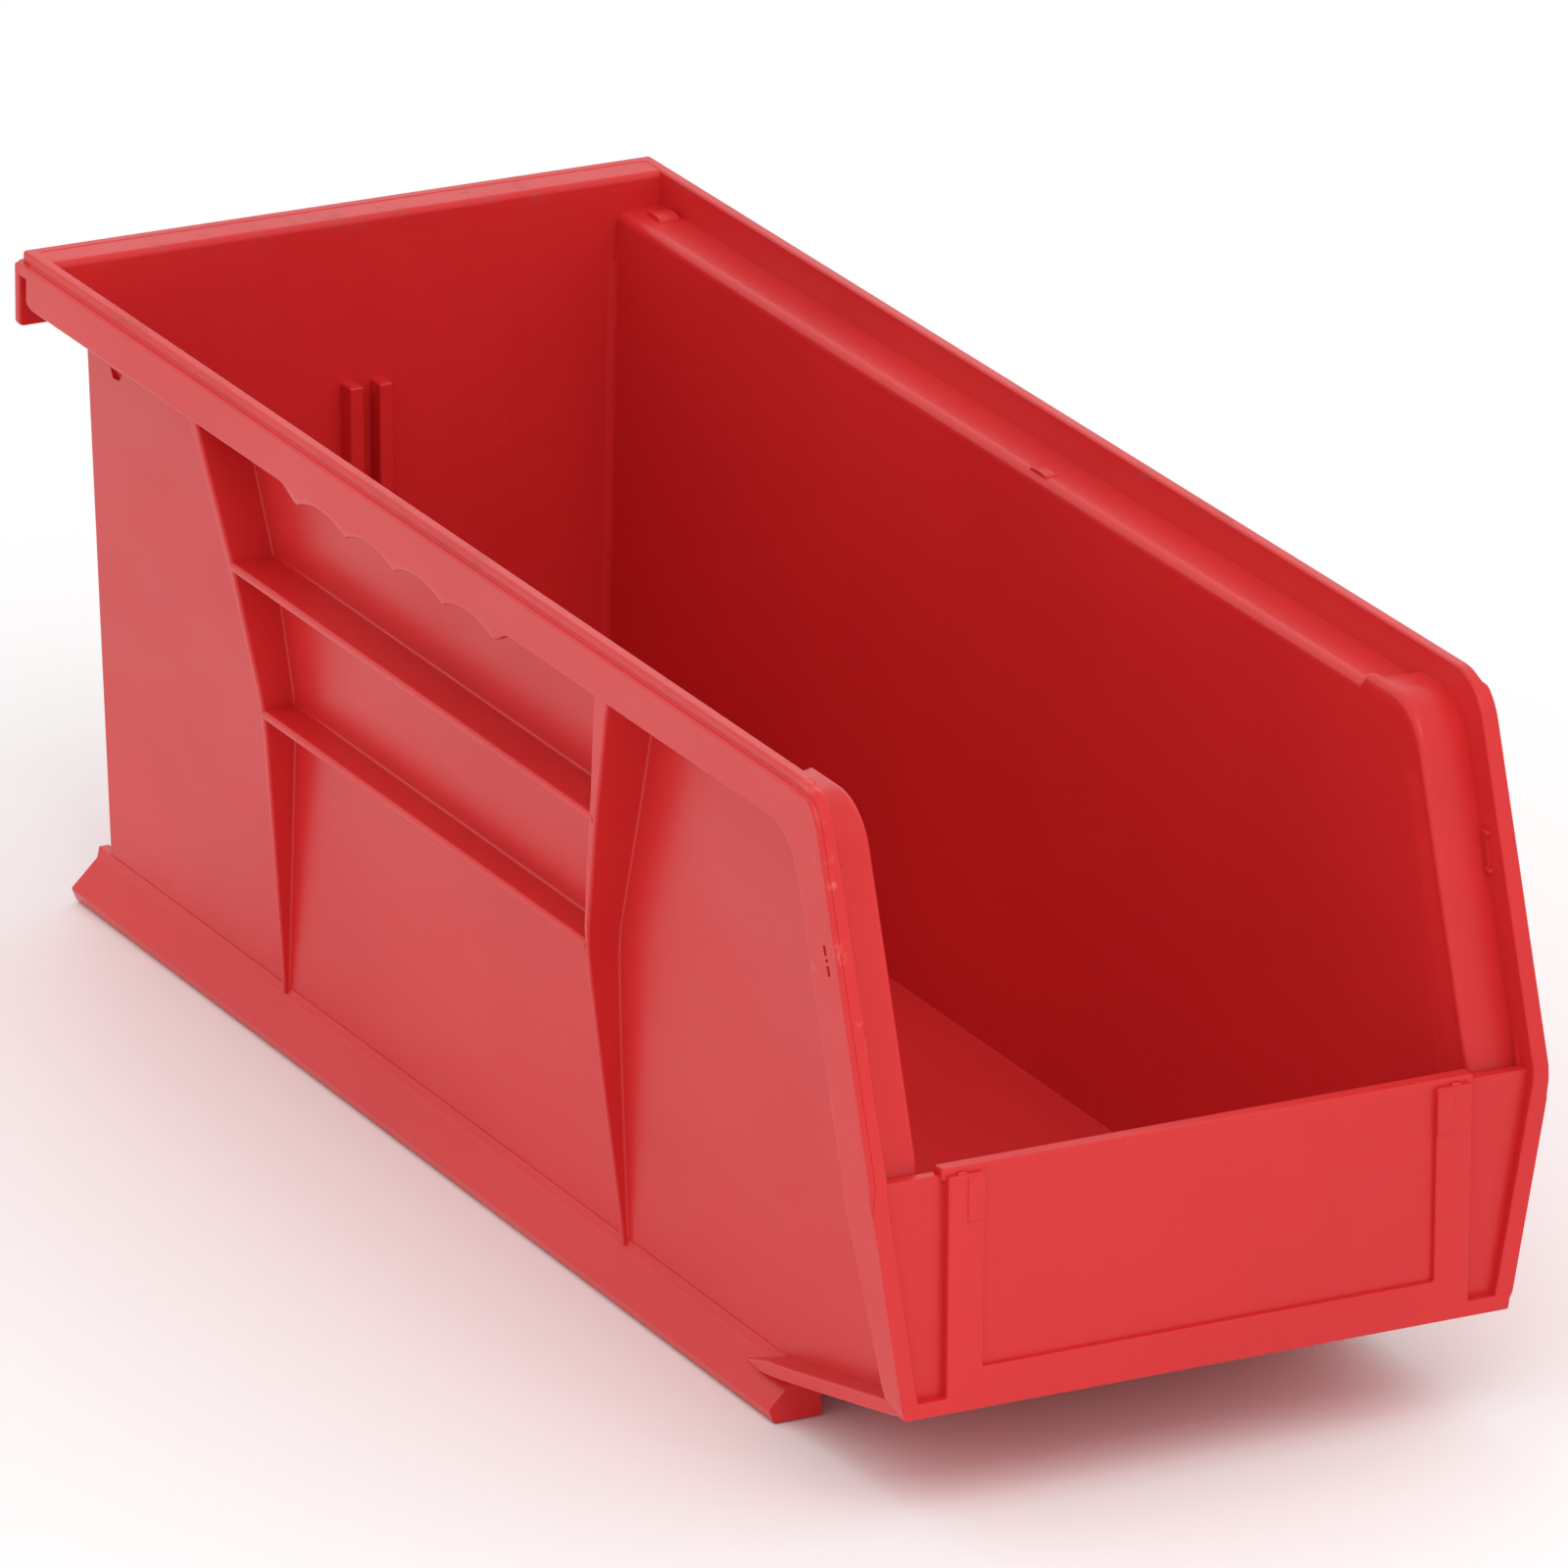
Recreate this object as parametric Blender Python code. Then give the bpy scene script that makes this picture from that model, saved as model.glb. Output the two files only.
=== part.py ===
"""Stackable storage bin: a one-piece moulding divided into its functional regions.

X is the width, the open front faces -Y, Z is up. The origin is the centre of the
bounding box's bottom face. Dimensions below are in millimetres.
"""

import math

import bmesh
import bpy

MM = 0.001

LENGTH = 276.2
WIDTH = 104.8
HEIGHT = 101.6
HALF_L = LENGTH / 2
HALF_W = WIDTH / 2
GAP = 0.3

# Rim: a raised bead on a skirt that runs along the top, down the front slope
# and down the front edge.
BEAD_H = 1.6
BEAD_STEP = 0.9
UPSTAND_X = 49.8
SKIRT_X = 50.4
SKIRT_H = 8.1
SLOPE_BAND = 9.2
CORNER_Y = -120.0
CORNER_R = 8.5
LIP_Z = 50.4
FOOT_CORNER_Y = -137.6
FOOT_CORNER_Z = 15.6
FOOT_CORNER_X = 47.0
FLANGE_REAR_Y = 133.9

# Stacking ledge inside the rim.
LEDGE_INSET = 5.3
LEDGE_T = 1.9
LEDGE_X = 42.3
LEDGE_R = 12.0
LEDGE_REAR_Y = 129.0
LEDGE_END_X = 48.6
LEDGE_END_TAPER = 7.0
STOP_H = 0.7

# Raised pad on the ledge's front corner, the stop for the bin above.
PAD_START_Y = -101.0
PAD_TOP_Z = 97.8
PAD_SLOPE_INSET = 4.3
PAD_R = 8.5
PAD_X = (42.6, 49.2)

# Walls and floor.
WALL_T = 2.2
WALL_TOP_X = 42.2
WALL_TOP_Z = 94.4
WALL_BOTTOM_X = 39.6
FLOOR_TOP = 7.0
FLOOR_T = 2.0
RAMP_Y = -88.0
RAMP_SLOPE = 0.2117
BACK_TOP_Y = 129.5
BACK_BOTTOM_Y = 127.5
BACK_T = 2.0
BACK_TOP_Z = 97.8

# Front wall and its label holder.
FRONT_IN_Y = -134.3
FRONT_OUT_Y = -136.7
FRONT_SIDE_TOP = 49.8
FRONT_MID_TOP = 50.8
FRONT_STEP_X = 42.0
FRONT_BASE_Z = 15.2
RAIL_IN_X = 34.9
RAIL_BODY_X = 36.6
RAIL_OUT_X = 40.4
RAIL_TOP = 49.8
RAIL_BASE = 17.5
CARD_GAP = 0.7
CARD_FLOOR = 21.5

# Rear rim and hanging lip.
REAR_BAND_Z = 98.1
REAR_BAND_TOP = 101.1
REAR_BEAD_IN = 134.8
REAR_BEAD_OUT = 137.0
LIP_T = 1.7
LIP_BASE = 90.0

# Foot rails and base strips.
FOOT_IN_X = 38.4
FOOT_BASE_X = 45.7
FOOT_EDGE_X = 46.6
FOOT_EDGE_H = 2.1
FLARE_TOP_X = 42.5
FLARE_TOP_Z = 6.0
FOOT_REAR_Y = 132.7
FOOT_FRONT_Y = -96.7
STRIP_START_Y = -82.5
STRIP_START_Z = 4.4
STRIP_FULL_Y = -93.0
STRIP_ABOVE = 1.9
STRIP_T = 2.1
STRIP_OUT_X = 45.7
STRIP_IN_X = 42.7

# Side ribs: two gussets and two shelves, out to a slanted envelope.
RIB_ENVELOPE = ((8.0, 42.6), (13.0, 43.2), (53.5, 48.3), (74.8, 50.7), (93.0, 52.15))
UPPER_SHELF_Z = 74.8
LOWER_SHELF_Z = 53.5
SHELF_T = 1.5
REAR_GUSSET = ((75.6, 93.0), (66.9, 74.3), (61.2, 52.9), (63.9, 30.4), (66.7, 8.0))
FRONT_GUSSET = ((-57.4, 93.0), (-52.0, 76.7), (-43.6, 53.1), (-43.5, 32.6), (-44.0, 8.0))
REAR_GUSSET_T = ((8.0, 1.1), (53.0, 1.4), (75.0, 2.0), (93.0, 2.6))
FRONT_GUSSET_T = ((8.0, 1.1), (53.0, 1.2), (75.0, 2.3), (93.0, 4.0))

# Finger grip: scallops along the skirt's lower edge.
GRIP_REAR_Y = 47.5
GRIP_FRONT_Y = -27.0
GRIP_TOP_Z = 95.4
GRIP_LOW_Z = 91.5
GRIP_HIGH_Z = 93.1
GRIP_PITCH = 15.8
GRIP_START_Y = 41.9
GRIP_ARCHES = 4

# Divider guides on the back wall.
GUIDE_IN_X = 1.25
GUIDE_OUT_X = 3.6
GUIDE_TOP = 76.4
GUIDE_PROUD = 3.3

RED = (0.60, 0.015, 0.018)


def clear_scene():
    for obj in list(bpy.data.objects):
        bpy.data.objects.remove(obj, do_unlink=True)
    for mesh in list(bpy.data.meshes):
        bpy.data.meshes.remove(mesh)


def plastic(name):
    material = bpy.data.materials.new(name)
    material.use_nodes = True
    shader = material.node_tree.nodes["Principled BSDF"]
    shader.inputs["Base Color"].default_value = (*RED, 1.0)
    shader.inputs["Roughness"].default_value = 0.3
    material.diffuse_color = (*RED, 1.0)
    return material


def add_solid(name, points, faces, bevel=0.0, segments=2):
    """A closed solid from points in millimetres; the normals are made to face out."""
    mesh = bpy.data.meshes.new(name)
    mesh.from_pydata([(x * MM, y * MM, z * MM) for x, y, z in points], [], faces)
    work = bmesh.new()
    work.from_mesh(mesh)
    bmesh.ops.recalc_face_normals(work, faces=work.faces)
    work.to_mesh(mesh)
    work.free()
    obj = bpy.data.objects.new(name, mesh)
    bpy.context.scene.collection.objects.link(obj)
    mesh.materials.append(plastic(name + "_plastic"))
    if bevel:
        add_bevel(obj, bevel, segments)
    return obj


def add_bevel(obj, width, segments=2):
    bevel = obj.modifiers.new("edge_rounding", "BEVEL")
    bevel.width = width * MM
    bevel.segments = segments
    bevel.limit_method = "ANGLE"
    bevel.angle_limit = math.radians(28)
    bevel.miter_outer = "MITER_SHARP"


def loft(name, rings, bevel=0.0):
    """A solid through rings of equal count, closed by a face at each end."""
    count = len(rings[0])
    points = [point for ring in rings for point in ring]
    faces = [tuple(range(count)), tuple(range(len(points) - count, len(points)))]
    for start in range(0, len(points) - count, count):
        for i in range(count):
            j = (i + 1) % count
            faces.append((start + i, start + j, start + count + j, start + count + i))
    return add_solid(name, points, faces, bevel)


def along_x(name, outline, low, high, bevel=0.0):
    """A (y, z) outline extruded along X."""
    rings = [[(x, y, z) for y, z in outline] for x in (low, high)]
    return loft(name, rings, bevel)


def along_y(name, outline, low, high, bevel=0.0):
    """An (x, z) outline extruded along Y."""
    rings = [[(x, y, z) for x, z in outline] for y in (low, high)]
    return loft(name, rings, bevel)


def block(name, low, high, bevel=0.0):
    outline = [(low[1], low[2]), (high[1], low[2]), (high[1], high[2]), (low[1], high[2])]
    return along_x(name, outline, low[0], high[0], bevel)


def combine(obj, other, operation):
    """Applies an exact Boolean between two solids and removes the second one."""
    modifier = obj.modifiers.new(operation.lower(), "BOOLEAN")
    modifier.operation = operation
    modifier.solver = "EXACT"
    modifier.object = other
    bpy.context.view_layer.update()
    graph = bpy.context.evaluated_depsgraph_get()
    made = bpy.data.meshes.new_from_object(obj.evaluated_get(graph))
    obj.modifiers.clear()
    obj.data = made
    bpy.data.objects.remove(other, do_unlink=True)
    while len(obj.data.materials) > 1:
        obj.data.materials.pop()
    for face in obj.data.polygons:
        face.material_index = 0


def smooth(obj):
    for face in obj.data.polygons:
        face.use_smooth = True


def mix(a, b, t):
    return a + (b - a) * t


def table(x, pairs):
    """Linear interpolation in a short list of (x, value) pairs."""
    for (x0, v0), (x1, v1) in zip(pairs, pairs[1:]):
        if x <= x1:
            return mix(v0, v1, max(0.0, x - x0) / (x1 - x0))
    return pairs[-1][1]


def unit(a, b):
    length = math.dist(a, b)
    return ((b[0] - a[0]) / length, (b[1] - a[1]) / length)


def rounded(before, corner, after, radius, steps):
    """Points of the arc that rounds a corner of a polyline in the (y, z) plane."""
    a, b = unit(corner, before), unit(corner, after)
    half = math.acos(a[0] * b[0] + a[1] * b[1]) / 2
    tangent = radius / math.tan(half)
    reach = radius / math.sin(half)
    middle = unit((0, 0), (a[0] + b[0], a[1] + b[1]))
    centre = (corner[0] + middle[0] * reach, corner[1] + middle[1] * reach)
    start = (corner[0] + a[0] * tangent, corner[1] + a[1] * tangent)
    end = (corner[0] + b[0] * tangent, corner[1] + b[1] * tangent)
    first = math.atan2(start[1] - centre[1], start[0] - centre[0])
    last = math.atan2(end[1] - centre[1], end[0] - centre[0])
    angles = [mix(first, last, i / steps) for i in range(steps + 1)]
    return [
        (centre[0] + radius * math.cos(t), centre[1] + radius * math.sin(t))
        for t in angles
    ]


def slope_point(inset, z):
    """The point at this height on the front slope, moved inwards by the inset."""
    corner, lip = (CORNER_Y, HEIGHT), (-HALF_L, LIP_Z)
    along = unit(corner, lip)
    start = (corner[0] - along[1] * inset, corner[1] + along[0] * inset)
    t = (z - start[1]) / along[1]
    return (start[0] + along[0] * t, z)


def wall_inner_x(z):
    return mix(WALL_BOTTOM_X, WALL_TOP_X, (z - FLOOR_TOP) / (WALL_TOP_Z - FLOOR_TOP))


def back_inner_y(z):
    return mix(BACK_BOTTOM_Y, BACK_TOP_Y, (z - FLOOR_TOP) / (BACK_TOP_Z - FLOOR_TOP))


def ramp_under(y):
    return FLOOR_TOP - FLOOR_T + max(0.0, RAMP_Y - y) * RAMP_SLOPE


def rib_outer_x(z):
    return table(z, RIB_ENVELOPE)


def inset_path(inset, radius, front_y):
    """The rim's side outline moved inwards, from the rear to the plane y = front_y."""
    top = HEIGHT - inset
    corner = slope_point(inset, top)
    far = slope_point(inset, 0.0)
    arc = rounded((HALF_L, top), corner, far, radius, 10)
    share = (front_y - corner[0]) / (far[0] - corner[0])
    return arc + [(front_y, mix(corner[1], far[1], share))]


def make_floor():
    x = WALL_BOTTOM_X - GAP - 0.06
    low = (-x, RAMP_Y + GAP / 2, FLOOR_TOP - FLOOR_T)
    high = (x, BACK_BOTTOM_Y - GAP - 0.05, FLOOR_TOP)
    block("floor_panel", low, high)
    front = FRONT_IN_Y + GAP
    rear = RAMP_Y - GAP / 2
    outline = [
        (rear, ramp_under(rear)),
        (rear, ramp_under(rear) + FLOOR_T),
        (front, ramp_under(front) + FLOOR_T),
        (front, ramp_under(front)),
    ]
    along_x("floor_ramp", outline, -x, x)


def make_back_wall():
    rings = []
    for offset in (0.0, BACK_T):
        ring = []
        for z, inset in ((5.0, 1.3), (14.0, 0.0), (BACK_TOP_Z, 0.0)):
            x = wall_inner_x(z) + WALL_T - inset
            ring.append((x, back_inner_y(z) + offset, z))
        rings.append(ring + [(-x, y, z) for x, y, z in reversed(ring)])
    loft("back_wall", rings, 0.35)


def make_front_wall():
    """A flat wall, wider at the top, whose middle stands a little higher."""
    base_x = 44.6
    top_x = UPSTAND_X - GAP
    half = [
        (base_x, FRONT_BASE_Z),
        (top_x, LIP_Z - 1.0),
        (top_x, FRONT_SIDE_TOP),
        (FRONT_STEP_X + 1.0, FRONT_SIDE_TOP),
        (FRONT_STEP_X, FRONT_MID_TOP),
    ]
    outline = half + [(-x, z) for x, z in reversed(half)]
    along_y("front_wall", outline, FRONT_OUT_Y, FRONT_IN_Y, 0.35)


def make_side_wall(side, label):
    front = FRONT_IN_Y + GAP
    inset = LEDGE_INSET + LEDGE_T + GAP
    radius = LEDGE_R - LEDGE_T - GAP
    outline = inset_path(inset, radius, front)
    outline.append((front, ramp_under(front)))
    outline.append((RAMP_Y, FLOOR_TOP - FLOOR_T))
    outline.append((back_inner_y(FLOOR_TOP - FLOOR_T) - GAP, FLOOR_TOP - FLOOR_T))
    top = HEIGHT - inset
    outline.append((back_inner_y(top) - GAP, top))
    rings = []
    for offset in (0.0, WALL_T):
        rings.append([(side * (wall_inner_x(z) + offset), y, z) for y, z in outline])
    loft(label + "_side_wall", rings)


def flange_ring(side, outer, inner, face_x, inside_x, bead_h, step):
    """One section of the rim, between its outer edge and its skirt's inner edge."""
    width = math.dist(outer, inner)
    across = unit(outer, inner)

    def at(x, depth):
        return (side * x, outer[0] + across[0] * depth, outer[1] + across[1] * depth)

    thin = min(7.8, width * 0.8)
    return [
        at(inside_x, 0.0),
        at(face_x - step, 0.0),
        at(face_x - step, bead_h),
        at(face_x, bead_h + 0.01),
        at(face_x, width),
        at(inside_x + SKIRT_X - UPSTAND_X, width),
        at(inside_x + SKIRT_X - UPSTAND_X, thin),
        at(inside_x, thin - 0.3),
    ]


def flange_stations():
    """Pairs of outer and inner points along the rim's side outline."""
    outer_arc = rounded((HALF_L, HEIGHT), (CORNER_Y, HEIGHT), (-HALF_L, LIP_Z), CORNER_R, 10)
    skirt = HEIGHT - SKIRT_H
    corner = slope_point(SLOPE_BAND, skirt)
    low = slope_point(SLOPE_BAND, LIP_Z - 3.0)
    inner_arc = rounded((HALF_L, skirt), corner, low, CORNER_R, 10)
    rear = [
        ((FLANGE_REAR_Y, HEIGHT), (FLANGE_REAR_Y, skirt + 2.6)),
        ((FLANGE_REAR_Y - 1.0, HEIGHT), (FLANGE_REAR_Y - 1.0, skirt + 1.2)),
        ((FLANGE_REAR_Y - 2.6, HEIGHT), (FLANGE_REAR_Y - 2.6, skirt + 0.3)),
        ((FLANGE_REAR_Y - 5.0, HEIGHT), (FLANGE_REAR_Y - 5.0, skirt)),
    ]
    return rear + list(zip(outer_arc, inner_arc)) + [((-HALF_L, LIP_Z), low)]


def make_flange(side, label):
    rings = []
    for outer, inner in flange_stations():
        rings.append(
            flange_ring(side, outer, inner, HALF_W, UPSTAND_X, BEAD_H, BEAD_STEP)
        )
    flange = loft(label + "_rim_flange", rings)
    cut_for_grip(flange, side)
    add_bevel(flange, 0.3)


def cut_for_grip(flange, side):
    x = sorted((side * (SKIRT_X - 5.0), side * (HALF_W + 5.0)))
    low = (x[0], GRIP_FRONT_Y - GAP, HEIGHT - SKIRT_H - 5.0)
    high = (x[1], GRIP_REAR_Y + GAP, GRIP_TOP_Z + GAP)
    combine(flange, block("grip_cut", low, high), "DIFFERENCE")


def make_front_edge(side, label):
    """The rim's continuation below the lip, tapering in to the bottom corner."""
    top_inner = slope_point(SLOPE_BAND, LIP_Z - 3.0)
    top = flange_ring(
        side, (-HALF_L, LIP_Z - GAP), (top_inner[0], top_inner[1] - GAP - 0.2),
        HALF_W, UPSTAND_X, 0.4, 0.4,
    )
    low = flange_ring(
        side, (FOOT_CORNER_Y, FOOT_CORNER_Z), (-131.5, 17.0),
        FOOT_CORNER_X, 45.0, 0.4, 0.4,
    )
    loft(label + "_front_edge", [top, low], 0.25)


def make_ledge(side, label):
    front = FRONT_IN_Y + GAP
    top = inset_path(LEDGE_INSET, LEDGE_R, front)
    under = inset_path(LEDGE_INSET + LEDGE_T, LEDGE_R - LEDGE_T, front)
    top.insert(0, (LEDGE_REAR_Y, HEIGHT - LEDGE_INSET))
    under.insert(0, (LEDGE_REAR_Y, HEIGHT - LEDGE_INSET - LEDGE_T))
    widths = [UPSTAND_X - GAP] * len(top)
    for path in (top, under):
        share = LEDGE_END_TAPER / math.dist(path[-2], path[-1])
        near = tuple(mix(e, s, share) for s, e in zip(path[-2], path[-1]))
        path.insert(-1, near)
    widths.append(LEDGE_END_X)
    rings = []
    for a, b, outer in zip(top, under, widths):
        section = [(LEDGE_X, a), (outer, a), (outer, b), (LEDGE_X, b)]
        rings.append([(side * x, p[0], p[1]) for x, p in section])
    loft(label + "_stacking_ledge", rings, 0.45)


def make_stop(side, name, y, x, length):
    """A low half-round lug on the ledge that keeps the bin above from sliding."""
    base = HEIGHT - LEDGE_INSET + GAP
    steps = 8
    arc = []
    for i in range(steps + 1):
        angle = math.pi * i / steps
        arc.append((y + length / 2 * math.cos(angle), base + STOP_H * math.sin(angle)))
    low, high = sorted((side * (x - 1.1), side * (x + 1.1)))
    smooth(along_x(name, arc, low, high, 0.15))


def make_front_stop(side, name):
    """A raised pad that follows the ledge round its front corner."""
    inset = LEDGE_INSET - GAP
    base = HEIGHT - inset
    far = slope_point(inset, 0.0)
    under = rounded(
        (HALF_L, base), slope_point(inset, base), far, LEDGE_R + GAP, 10
    )[:-2]
    over = rounded(
        (HALF_L, PAD_TOP_Z), slope_point(PAD_SLOPE_INSET, PAD_TOP_Z),
        slope_point(PAD_SLOPE_INSET, 0.0), PAD_R, 8,
    )
    outline = [(PAD_START_Y, PAD_TOP_Z - 0.8), (PAD_START_Y, base)] + under
    outline += list(reversed(over)) + [(PAD_START_Y - 0.8, PAD_TOP_Z)]
    low, high = sorted(side * x for x in PAD_X)
    along_x(name, outline, low, high, 0.2)


def make_stops(side, label):
    make_stop(side, label + "_rear_stop", 124.0, 47.6, 4.0)
    make_stop(side, label + "_middle_stop", -4.0, 43.9, 5.0)
    make_front_stop(side, label + "_front_stop")


def make_rear_rim():
    band = [
        (BACK_TOP_Y, REAR_BAND_Z),
        (REAR_BEAD_IN + 0.5, REAR_BAND_Z),
        (REAR_BEAD_IN + 0.5, REAR_BAND_TOP),
        (BACK_TOP_Y, REAR_BAND_TOP),
    ]
    bead = [
        (FLANGE_REAR_Y + GAP, REAR_BAND_Z),
        (HALF_L, REAR_BAND_Z),
        (HALF_L, HEIGHT - BEAD_H),
        (REAR_BEAD_OUT, HEIGHT - BEAD_H),
        (REAR_BEAD_OUT, HEIGHT),
        (REAR_BEAD_IN, HEIGHT),
        (REAR_BEAD_IN, HEIGHT - BEAD_H),
        (FLANGE_REAR_Y + GAP, HEIGHT - BEAD_H),
    ]
    x = UPSTAND_X - GAP
    rim = along_x("rear_rim", bead, -HALF_W, HALF_W)
    combine(rim, along_x("rim_band", band, -x, x), "UNION")
    add_bevel(rim, 0.15)
    low = (-HALF_W, HALF_L - LIP_T, LIP_BASE)
    high = (HALF_W, HALF_L, REAR_BAND_Z - GAP)
    block("hanging_lip", low, high, 0.35)


def make_foot(side, label):
    """The runner under a side wall, with the wedge that leads into the base strip."""
    top = FLOOR_TOP - FLOOR_T - GAP
    outline = [
        (side * FOOT_IN_X, 0.0),
        (side * FOOT_BASE_X, 0.0),
        (side * FOOT_EDGE_X, FOOT_EDGE_H),
        (side * FLARE_TOP_X, FLARE_TOP_Z),
        (side * (FLARE_TOP_X - 0.2), top),
        (side * FOOT_IN_X, top),
    ]
    foot = along_y(label + "_foot_rail", outline, FOOT_FRONT_Y, FOOT_REAR_Y)
    wedge = [
        (STRIP_START_Y, STRIP_START_Z),
        (STRIP_FULL_Y, strip_top(STRIP_FULL_Y)),
        (FOOT_FRONT_Y, strip_top(FOOT_FRONT_Y)),
        (FOOT_FRONT_Y, 1.0),
        (STRIP_START_Y, 1.0),
    ]
    low, high = sorted((side * STRIP_IN_X, side * STRIP_OUT_X))
    combine(foot, along_x("wedge", wedge, low, high), "UNION")
    add_bevel(foot, 0.3)


def strip_top(y):
    return ramp_under(y) + STRIP_ABOVE


def make_base_strip(side, label):
    rear = FOOT_FRONT_Y - GAP
    front = -130.9
    outline = [
        (rear, strip_top(rear)),
        (front, strip_top(front)),
        (front, strip_top(front) - STRIP_T),
        (rear, strip_top(rear) - STRIP_T),
    ]
    low, high = sorted((side * STRIP_IN_X, side * STRIP_OUT_X))
    along_x(label + "_base_strip", outline, low, high, 0.25)


def make_gusset(side, name, line, thickness):
    """A fin along a line in the side view, from the wall out to the rib envelope."""
    rings = []
    for y, z in line:
        thick = table(z, thickness)
        inner = wall_inner_x(z) + WALL_T + GAP
        outer = max(rib_outer_x(z), inner + 0.5)
        section = [(inner, y), (outer, y), (outer, y + thick), (inner, y + thick)]
        rings.append([(side * x, yy, z) for x, yy in section])
    loft(name, rings, 0.2)


def line_y(line, z):
    for (y0, z0), (y1, z1) in zip(line, line[1:]):
        if z1 <= z <= z0:
            return mix(y1, y0, (z - z1) / (z0 - z1))
    return line[-1][0]


def make_shelf(side, name, z):
    rear = line_y(REAR_GUSSET, z) - GAP
    front = line_y(FRONT_GUSSET, z) + table(z, FRONT_GUSSET_T) + GAP + 0.05
    rings = []
    for shift in (0.0, -SHELF_T):
        inner = wall_inner_x(z + shift) + WALL_T + GAP
        outer = rib_outer_x(z)
        back = rear - (0.55 if shift else 0.0)
        fore = front + (0.55 if shift else 0.0)
        section = [(inner, fore), (outer, fore), (outer, back), (inner, back)]
        rings.append([(side * x, y, z + shift) for x, y in section])
    loft(name, rings, 0.35)


def make_ribs(side, label):
    make_gusset(side, label + "_rear_gusset", REAR_GUSSET, REAR_GUSSET_T)
    make_gusset(side, label + "_front_gusset", FRONT_GUSSET, FRONT_GUSSET_T)
    make_shelf(side, label + "_upper_shelf", UPPER_SHELF_Z)
    make_shelf(side, label + "_lower_shelf", LOWER_SHELF_Z)


def make_grip(side, label):
    """The part of the skirt whose lower edge is scalloped for the fingers."""
    outline = [(GRIP_FRONT_Y, GRIP_TOP_Z), (GRIP_REAR_Y, GRIP_TOP_Z)]
    outline.append((GRIP_REAR_Y, GRIP_HIGH_Z))
    steps = 8
    for arch in range(GRIP_ARCHES):
        start = GRIP_START_Y - arch * GRIP_PITCH
        for i in range(steps):
            t = i / steps
            z = GRIP_LOW_Z + (GRIP_HIGH_Z - GRIP_LOW_Z) * math.sin(math.pi * t)
            outline.append((start - GRIP_PITCH * t, z))
    outline.append((GRIP_START_Y - GRIP_ARCHES * GRIP_PITCH, GRIP_LOW_Z))
    outline.append((GRIP_FRONT_Y, GRIP_HIGH_Z))
    low, high = sorted((side * SKIRT_X, side * HALF_W))
    along_x(label + "_finger_grip", outline, low, high, 0.25)


def make_label_holder():
    wall = FRONT_OUT_Y - GAP
    face = -HALF_L
    lip = FRONT_OUT_Y - CARD_GAP
    for side, label in ((-1, "left"), (1, "right")):
        section = [
            (RAIL_OUT_X, wall),
            (RAIL_OUT_X, face),
            (RAIL_IN_X, face),
            (RAIL_IN_X, lip),
            (RAIL_BODY_X, lip),
            (RAIL_BODY_X, wall),
        ]
        rings = []
        for z in (RAIL_BASE, RAIL_TOP):
            rings.append([(side * x, y, z) for x, y in section])
        loft(label + "_label_rail", rings, 0.2)
    x = RAIL_IN_X - GAP
    low = (-x, wall - 0.9, RAIL_BASE)
    block("label_bottom_rail", low, (x, wall, CARD_FLOOR), 0.2)


def make_divider_guides():
    for side, label in ((-1, "left"), (1, "right")):
        rings = []
        for z in (FLOOR_TOP + GAP, GUIDE_TOP):
            back = back_inner_y(z) - GAP
            section = [
                (GUIDE_IN_X, back),
                (GUIDE_IN_X, back - GUIDE_PROUD),
                (GUIDE_OUT_X, back - GUIDE_PROUD),
                (GUIDE_OUT_X, back),
            ]
            rings.append([(side * x, y, z) for x, y in section])
        loft(label + "_divider_guide", rings, 0.3)


def main():
    clear_scene()
    make_floor()
    make_back_wall()
    make_front_wall()
    make_rear_rim()
    make_label_holder()
    make_divider_guides()
    for side, label in ((-1, "left"), (1, "right")):
        make_side_wall(side, label)
        make_flange(side, label)
        make_front_edge(side, label)
        make_ledge(side, label)
        make_stops(side, label)
        make_foot(side, label)
        make_base_strip(side, label)
        make_ribs(side, label)
        make_grip(side, label)


main()
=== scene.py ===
import math

import bmesh
import bpy
from mathutils import Matrix, Vector


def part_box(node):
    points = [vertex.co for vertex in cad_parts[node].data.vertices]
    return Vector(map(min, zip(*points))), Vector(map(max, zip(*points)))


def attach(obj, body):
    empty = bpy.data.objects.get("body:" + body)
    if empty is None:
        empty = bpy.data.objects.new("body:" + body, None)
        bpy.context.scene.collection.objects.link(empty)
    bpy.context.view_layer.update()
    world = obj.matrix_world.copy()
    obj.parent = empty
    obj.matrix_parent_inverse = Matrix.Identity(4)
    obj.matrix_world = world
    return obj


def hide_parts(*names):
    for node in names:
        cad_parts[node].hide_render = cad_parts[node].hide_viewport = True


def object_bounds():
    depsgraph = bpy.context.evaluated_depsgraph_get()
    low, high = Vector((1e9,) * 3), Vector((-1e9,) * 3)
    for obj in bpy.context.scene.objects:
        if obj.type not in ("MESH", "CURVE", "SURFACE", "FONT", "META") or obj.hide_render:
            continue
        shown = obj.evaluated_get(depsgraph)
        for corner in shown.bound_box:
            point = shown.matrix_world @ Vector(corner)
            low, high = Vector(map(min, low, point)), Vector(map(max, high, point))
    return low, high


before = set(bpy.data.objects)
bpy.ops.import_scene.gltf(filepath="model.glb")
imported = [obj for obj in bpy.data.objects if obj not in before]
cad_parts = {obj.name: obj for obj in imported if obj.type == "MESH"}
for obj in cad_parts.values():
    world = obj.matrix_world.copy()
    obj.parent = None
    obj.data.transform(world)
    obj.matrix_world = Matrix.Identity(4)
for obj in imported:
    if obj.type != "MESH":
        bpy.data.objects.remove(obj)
CAD_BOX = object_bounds()
MM = 0.001


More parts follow.
